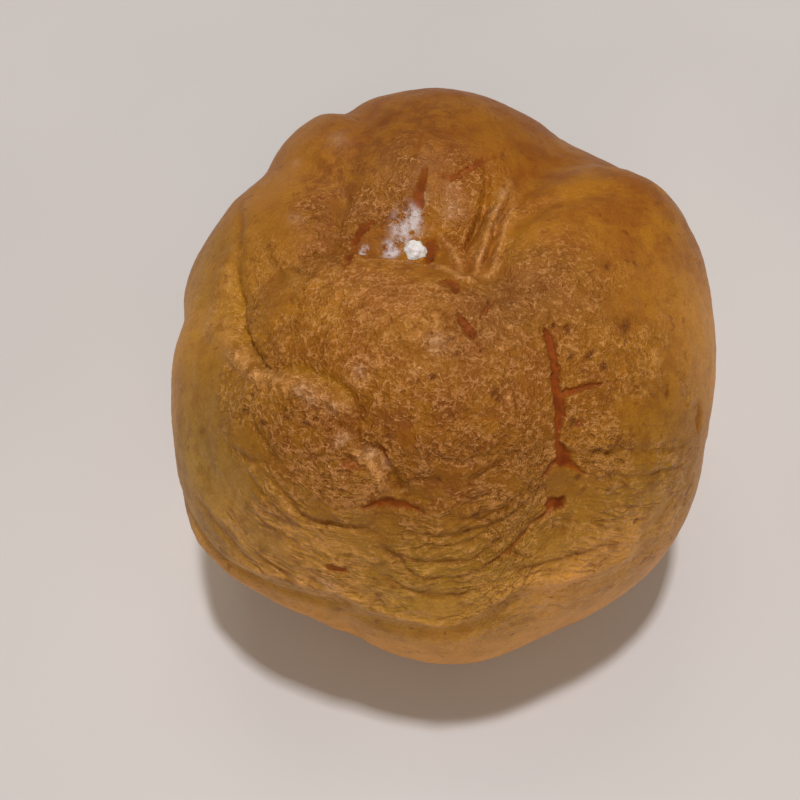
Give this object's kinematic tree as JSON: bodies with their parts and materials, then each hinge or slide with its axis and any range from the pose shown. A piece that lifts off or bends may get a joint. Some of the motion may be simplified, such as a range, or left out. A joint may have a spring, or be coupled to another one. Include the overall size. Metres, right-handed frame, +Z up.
{
  "type": "cream puff",
  "caption": "Round baked choux bun with a lobed, cracked brown crust, a sunken top where a dab of cream shows, and a flat underside.",
  "frame": {"origin": "middle of the part's outline, at the level of its flat underside", "axes": "+Z up from the underside to the crown, +Y from the front of the bun to its rear, +X to the right"},
  "size_m": [0.0774, 0.0826, 0.0584],
  "materials": {
    "crust": "dry, finely wrinkled baked crust",
    "cream": "soft satin"
  },
  "bodies": {
    "root": {"choux_bun": "crust", "cream_dab": "cream"}
  },
  "joints": []
}
